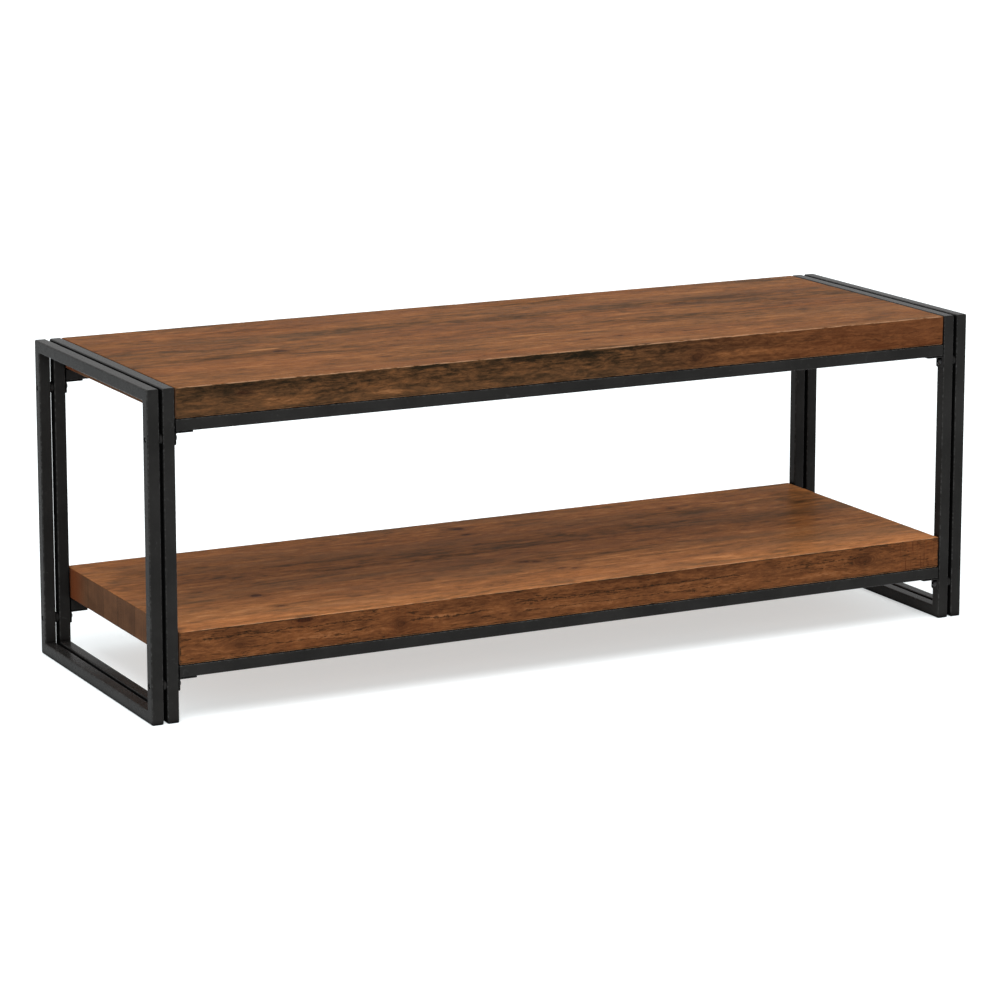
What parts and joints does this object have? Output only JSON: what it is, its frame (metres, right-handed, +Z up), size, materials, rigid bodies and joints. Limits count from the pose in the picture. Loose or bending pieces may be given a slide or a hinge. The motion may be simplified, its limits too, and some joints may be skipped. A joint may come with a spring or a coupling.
{
  "type": "entryway bench",
  "caption": "Bench with a thick wooden seat and a lower wooden shelf on steel rails, bolted between two ends of paired square-tube frames.",
  "frame": {"origin": "middle of the footprint, on the floor", "axes": "+X along the bench to its right-hand end seen from the front, -Y towards the front, +Z up"},
  "size_m": [1.219, 0.4, 0.43],
  "materials": {
    "stained_wood": "warm red-brown stained timber with knots and dark streaks, satin lacquer",
    "powder_coated_steel": "satin charcoal powder coat",
    "black_fastener": "black oxide, satin",
    "zinc_screw": "bright zinc plate"
  },
  "bodies": {
    "root": {"left_outer_front_leg": "powder_coated_steel", "left_outer_back_leg": "powder_coated_steel", "left_outer_top_bar": "powder_coated_steel", "left_outer_bottom_bar": "powder_coated_steel", "left_inner_front_leg": "powder_coated_steel", "left_inner_back_leg": "powder_coated_steel", "left_inner_top_bar": "powder_coated_steel", "left_inner_bottom_bar": "powder_coated_steel", "right_outer_front_leg": "powder_coated_steel", "right_outer_back_leg": "powder_coated_steel", "right_outer_top_bar": "powder_coated_steel", "right_outer_bottom_bar": "powder_coated_steel", "right_inner_front_leg": "powder_coated_steel", "right_inner_back_leg": "powder_coated_steel", "right_inner_top_bar": "powder_coated_steel", "right_inner_bottom_bar": "powder_coated_steel", "seat_board": "stained_wood", "seat_front_rail": "powder_coated_steel", "seat_front_left_bracket": "powder_coated_steel", "seat_front_left_bolt": "black_fastener", "seat_front_left_spacer": "powder_coated_steel", "seat_front_right_bracket": "powder_coated_steel", "seat_front_right_bolt": "black_fastener", "seat_front_right_spacer": "powder_coated_steel", "seat_front_screw_1": "zinc_screw", "seat_front_screw_2": "zinc_screw", "seat_front_screw_3": "zinc_screw", "seat_back_rail": "powder_coated_steel", "seat_back_left_bracket": "powder_coated_steel", "seat_back_left_bolt": "black_fastener", "seat_back_left_spacer": "powder_coated_steel", "seat_back_right_bracket": "powder_coated_steel", "seat_back_right_bolt": "black_fastener", "seat_back_right_spacer": "powder_coated_steel", "seat_back_screw_1": "zinc_screw", "seat_back_screw_2": "zinc_screw", "seat_back_screw_3": "zinc_screw", "shelf_board": "stained_wood", "shelf_front_rail": "powder_coated_steel", "shelf_front_left_bracket": "powder_coated_steel", "shelf_front_left_bolt": "black_fastener", "shelf_front_left_spacer": "powder_coated_steel", "shelf_front_right_bracket": "powder_coated_steel", "shelf_front_right_bolt": "black_fastener", "shelf_front_right_spacer": "powder_coated_steel", "shelf_front_screw_1": "zinc_screw", "shelf_front_screw_2": "zinc_screw", "shelf_front_screw_3": "zinc_screw", "shelf_back_rail": "powder_coated_steel", "shelf_back_left_bracket": "powder_coated_steel", "shelf_back_left_bolt": "black_fastener", "shelf_back_left_spacer": "powder_coated_steel", "shelf_back_right_bracket": "powder_coated_steel", "shelf_back_right_bolt": "black_fastener", "shelf_back_right_spacer": "powder_coated_steel", "shelf_back_screw_1": "zinc_screw", "shelf_back_screw_2": "zinc_screw", "shelf_back_screw_3": "zinc_screw"}
  },
  "joints": []
}
